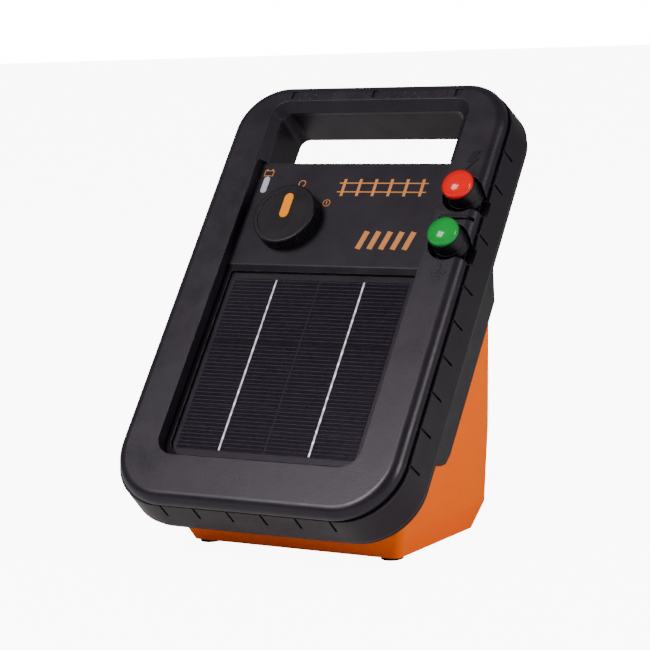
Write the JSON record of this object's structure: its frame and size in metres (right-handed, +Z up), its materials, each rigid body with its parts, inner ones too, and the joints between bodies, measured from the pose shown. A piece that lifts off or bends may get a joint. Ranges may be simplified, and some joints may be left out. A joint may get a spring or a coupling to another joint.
{
  "type": "fence energizer",
  "caption": "Portable solar fence energizer: leaning dark slab with hand hole, solar window, mode knob and terminals on a wedge base.",
  "frame": {"origin": "bottom centre of the bounding box, on the ground under the middle of the energizer", "axes": "+Z up, +X to the right seen from the front, +Y from the front to the back; the face leans back over +Y"},
  "size_m": [0.1894, 0.2078, 0.2546],
  "materials": {
    "charcoal_plastic": "fine moulded grain, satin",
    "black_plastic": "satin",
    "orange_plastic": "fine moulded grain, satin",
    "seal_rubber": "matt",
    "lens_plastic": "frosted",
    "pointer_plastic": "satin",
    "red_cap_plastic": "gloss",
    "green_cap_plastic": "gloss",
    "steel": "plated",
    "brass": "machined",
    "circuit_board": "solder mask",
    "solar_glass": "gloss",
    "silicon_cell": "dark blue-black with fine finger lines",
    "tinned_ribbon": "bright",
    "backing_plastic": "matt",
    "battery_wrap": "shrink wrap",
    "transformer_core": "varnished",
    "capacitor_can": "satin",
    "wire_red": "gloss",
    "wire_green": "gloss",
    "wire_black": "gloss"
  },
  "bodies": {
    "case": {"base_housing": "orange_plastic", "battery": "battery_wrap", "battery_lead": "wire_black", "battery_pad": "seal_rubber", "battery_strap": "steel", "case_screws": "steel", "case_seal": "seal_rubber", "cell_ribbons": "tinned_ribbon", "control_board": "circuit_board", "control_panel": "charcoal_plastic", "front_bezel": "charcoal_plastic", "green_output_lead": "wire_green", "green_stud": "steel", "green_stud_nut": "steel", "indicator_lens": "lens_plastic", "indicator_light": "black_plastic", "power_board": "circuit_board", "pulse_transformer": "transformer_core", "rear_cover": "charcoal_plastic", "rear_screws": "steel", "red_output_lead": "wire_red", "red_stud": "steel", "red_stud_nut": "steel", "rotary_switch": "black_plastic", "rubber_feet": "seal_rubber", "side_skirt": "charcoal_plastic", "solar_backing": "backing_plastic", "solar_cells": "silicon_cell", "solar_frame": "charcoal_plastic", "solar_glass": "solar_glass", "solar_lead": "wire_black", "solar_seal": "seal_rubber", "storage_capacitor": "capacitor_can", "terminal_tray": "black_plastic"},
    "mode_knob": {"mode_knob": "black_plastic", "knob_pointer": "pointer_plastic", "switch_shaft": "steel"},
    "red_washer": {"red_washer": "steel"},
    "red_knob": {"red_knob": "black_plastic", "red_cap": "red_cap_plastic", "red_knob_insert": "brass"},
    "green_washer": {"green_washer": "steel"},
    "green_knob": {"green_knob": "black_plastic", "green_cap": "green_cap_plastic", "green_knob_insert": "brass"}
  },
  "joints": [
    {"name": "mode_knob_turn", "type": "hinge", "parent": "case", "child": "mode_knob", "pos_m": [-0.0323, 0.01845, 0.18313], "axis": [0, 0.7593, -0.6508], "range_deg": [0, 60]},
    {"name": "red_terminal_rise", "type": "slide", "parent": "case", "child": "red_washer", "axis": [0, -0.7593, 0.6508], "range_m": [0, 0.005]},
    {"name": "red_terminal_turn", "type": "hinge", "parent": "red_washer", "child": "red_knob", "pos_m": [0.079, 0.02806, 0.19741], "axis": [0, -0.7593, 0.6508], "range_deg": [0, 1440]},
    {"name": "green_terminal_rise", "type": "slide", "parent": "case", "child": "green_washer", "axis": [0, -0.7593, 0.6508], "range_m": [0, 0.005]},
    {"name": "green_terminal_turn", "type": "hinge", "parent": "green_washer", "child": "green_knob", "pos_m": [0.079, 0.00724, 0.17311], "axis": [0, -0.7593, 0.6508], "range_deg": [0, 1440]}
  ],
  "couplings": [
    {"joint": "red_terminal_rise", "follows": "red_terminal_turn", "m_per_rad": 0.00019894},
    {"joint": "green_terminal_rise", "follows": "green_terminal_turn", "m_per_rad": 0.00019894}
  ]
}
